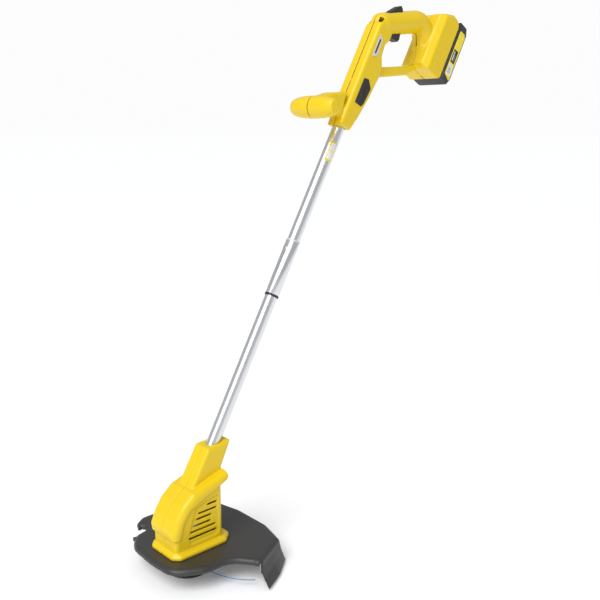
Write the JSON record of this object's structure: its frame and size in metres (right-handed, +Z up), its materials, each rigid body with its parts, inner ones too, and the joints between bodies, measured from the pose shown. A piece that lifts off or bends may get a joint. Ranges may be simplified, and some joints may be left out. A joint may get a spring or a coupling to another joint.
{
  "type": "string trimmer",
  "caption": "Battery string trimmer: leaning aluminium tube, motor head with spool, line and debris guard, crosswise front handle, D-shaped rear grip with trigger and slide-off battery.",
  "frame": {"origin": "on the spool axis at the bottom of the tap knob", "axes": "+Z up along the spool axis, +X from the head towards the user's grip, +Y to the user's right hand side"},
  "size_m": [0.7534, 0.2844, 0.9475],
  "materials": {
    "yellow_plastic": "satin moulded, saturated yellow",
    "black_plastic": "fine moulded grain",
    "guard_plastic": "satin moulded",
    "tube_metal": "drawn and anodised, shiny",
    "steel": "zinc plated",
    "spring_steel": "plain",
    "nylon_line": "ribbed blue nylon",
    "soft_black": "soft, matt",
    "label_print": "printed film",
    "plate_finish": "plain light grey plate",
    "copper": "plain",
    "board_green": "glass fibre board",
    "cell_wrap": "shrink sleeve",
    "bright_steel": "ground",
    "magnet": "sintered"
  },
  "bodies": {
    "tool": {"tube_lower": "tube_metal", "tube_upper": "tube_metal", "joint_sleeve": "tube_metal", "seal_ring": "soft_black", "sleeve_collar": "plate_finish", "tube_label": "label_print", "snap_spring": "spring_steel", "guard": "guard_plastic", "line_cutter_blade": "steel", "guard_screws": "steel", "motor_housing_left": "yellow_plastic", "motor_housing_right": "yellow_plastic", "housing_screws": "steel", "motor_can": "steel", "motor_end_bracket": "black_plastic", "lower_bearing": "bright_steel", "upper_bearing": "bright_steel", "motor_magnets": "magnet", "motor_brushes": "magnet", "handle_shell_left": "yellow_plastic", "handle_shell_right": "yellow_plastic", "handle_screws": "steel", "trigger_pin": "steel", "switch_module": "black_plastic", "trigger_spring": "spring_steel", "lock_spring": "spring_steel", "side_insert_left": "soft_black", "side_insert_right": "soft_black", "badge_plate_left": "plate_finish", "badge_plate_right": "plate_finish", "control_board": "board_green", "terminal_block": "black_plastic", "contact_blades": "copper", "wiring_cable": "soft_black"},
    "cutting_head": {"head_base": "black_plastic", "spool_cover": "black_plastic", "line_eyelet": "steel", "cutting_line": "nylon_line", "spool_spring": "spring_steel", "motor_shaft": "bright_steel", "motor_rotor": "copper", "commutator": "copper", "cooling_fan": "black_plastic"},
    "spool_unit": {"spool": "black_plastic", "line_winding": "nylon_line", "tap_knob": "black_plastic"},
    "trigger_lever": {"trigger": "black_plastic"},
    "lock_slider": {"lock_button": "black_plastic"},
    "battery_pack": {"battery_case": "black_plastic", "battery_cover": "black_plastic", "battery_cells": "cell_wrap", "battery_board": "board_green", "battery_label_left": "label_print", "battery_label_right": "label_print"},
    "battery_latch": {"release_button": "black_plastic"},
    "tube_button": {"snap_button": "steel"}
  },
  "joints": [
    {"name": "head_spin", "type": "hinge", "parent": "tool", "child": "cutting_head", "pos_m": [0, 0, 0.035], "axis": [0, 0, 1], "continuous": true},
    {"name": "spool_tap", "type": "slide", "parent": "cutting_head", "child": "spool_unit", "axis": [0, 0, 1], "range_m": [0, 0.005], "stiffness_N_per_m": 3000, "springref_m": -0.003, "deforming": ["spool_spring"]},
    {"name": "trigger_pull", "type": "hinge", "parent": "tool", "child": "trigger_lever", "pos_m": [0.5004, 0, 0.90419], "axis": [0, 1, 0], "range_deg": [0, 7], "stiffness_Nm_per_rad": 2, "springref_deg": -8.59, "deforming": ["trigger_spring"]},
    {"name": "lock_slide", "type": "slide", "parent": "tool", "child": "lock_slider", "axis": [-0.992, 0, -0.1262], "range_m": [0, 0.0045], "stiffness_N_per_m": 600, "springref_m": -0.002, "deforming": ["lock_spring"]},
    {"name": "battery_slide", "type": "slide", "parent": "tool", "child": "battery_pack", "axis": [0.4947, 0, 0.8691], "range_m": [0, 0.13]},
    {"name": "battery_release", "type": "slide", "parent": "battery_pack", "child": "battery_latch", "axis": [0.8691, 0, -0.4947], "range_m": [0, 0.0025], "stiffness_N_per_m": 1500, "springref_m": -0.002},
    {"name": "snap_button_press", "type": "slide", "parent": "tool", "child": "tube_button", "axis": [0.8691, 0, -0.4947], "range_m": [0, 0.0028], "stiffness_N_per_m": 2000, "springref_m": -0.0015, "deforming": ["snap_spring"]}
  ]
}
